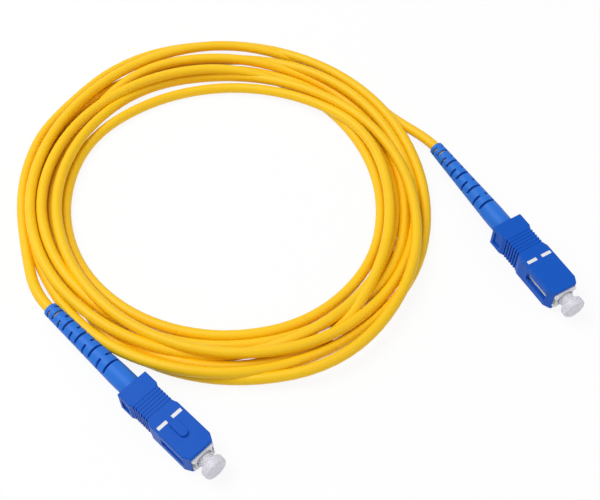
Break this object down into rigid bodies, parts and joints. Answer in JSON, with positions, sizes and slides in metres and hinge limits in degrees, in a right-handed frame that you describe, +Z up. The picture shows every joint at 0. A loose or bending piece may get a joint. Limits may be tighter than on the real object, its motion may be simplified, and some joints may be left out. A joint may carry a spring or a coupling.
{
  "type": "fiber optic patch cord",
  "caption": "Coiled simplex fiber patch cord with a square push-pull plug, slotted bend-relief boot and pull-off dust cap on each end.",
  "frame": {"origin": "on the surface that the cord lies on, under the middle of the box round the two plugs", "axes": "+Z up from that surface; +Y from the plugs towards the far side of the coil; +X towards plug B"},
  "size_m": [0.154, 0.1471, 0.0081],
  "materials": {
    "housing_blue": "satin moulded",
    "boot_blue": "soft satin",
    "frame_white": "satin moulded",
    "cap_clear": "cloudy translucent",
    "jacket_yellow": "smooth satin",
    "zirconia": "polished ceramic",
    "nickel_plate": "satin plated",
    "spring_steel": "drawn wire",
    "crimp_copper": "satin",
    "aramid_yellow": "fine yarn",
    "buffer_white": "smooth",
    "glass_fibre": "polished"
  },
  "bodies": {
    "cord": {"a_plug_frame": "frame_white", "a_ferrule_spring": "spring_steel", "a_crimp_body": "nickel_plate", "a_guide_tube": "buffer_white", "a_aramid_yarn": "aramid_yellow", "a_crimp_ring": "crimp_copper", "a_strain_boot": "boot_blue", "a_cable_end": "jacket_yellow", "b_plug_frame": "frame_white", "b_ferrule_spring": "spring_steel", "b_crimp_body": "nickel_plate", "b_guide_tube": "buffer_white", "b_aramid_yarn": "aramid_yellow", "b_crimp_ring": "crimp_copper", "b_strain_boot": "boot_blue", "b_cable_end": "jacket_yellow", "cable_tail_a": "jacket_yellow", "cable_tail_b": "jacket_yellow", "cable_coil": "jacket_yellow"},
    "a_grip": {"a_outer_housing": "housing_blue"},
    "a_ferrule_unit": {"a_ferrule": "zirconia", "a_ferrule_flange": "nickel_plate", "a_buffered_fibre": "buffer_white", "a_glass_fibre": "glass_fibre"},
    "a_cap": {"a_dust_cap": "cap_clear"},
    "b_grip": {"b_outer_housing": "housing_blue"},
    "b_ferrule_unit": {"b_ferrule": "zirconia", "b_ferrule_flange": "nickel_plate", "b_buffered_fibre": "buffer_white", "b_glass_fibre": "glass_fibre"},
    "b_cap": {"b_dust_cap": "cap_clear"}
  },
  "joints": [
    {"name": "a_grip_slide", "type": "slide", "parent": "cord", "child": "a_grip", "axis": [-0.7071, 0.7071, 0], "range_m": [0, 0.002]},
    {"name": "a_ferrule_travel", "type": "slide", "parent": "cord", "child": "a_ferrule_unit", "axis": [-0.7071, 0.7071, 0], "range_m": [0, 0.0015], "stiffness_N_per_m": 3000, "springref_m": -0.0023, "deforming": ["a_ferrule_spring"]},
    {"name": "a_cap_pull", "type": "slide", "parent": "a_ferrule_unit", "child": "a_cap", "axis": [0.7071, -0.7071, 0], "range_m": [0, 0.012]},
    {"name": "b_grip_slide", "type": "slide", "parent": "cord", "child": "b_grip", "axis": [-0.4879, 0.8729, 0], "range_m": [0, 0.002]},
    {"name": "b_ferrule_travel", "type": "slide", "parent": "cord", "child": "b_ferrule_unit", "axis": [-0.4879, 0.8729, 0], "range_m": [0, 0.0015], "stiffness_N_per_m": 3000, "springref_m": -0.0023, "deforming": ["b_ferrule_spring"]},
    {"name": "b_cap_pull", "type": "slide", "parent": "b_ferrule_unit", "child": "b_cap", "axis": [0.4879, -0.8729, 0], "range_m": [0, 0.012]}
  ]
}
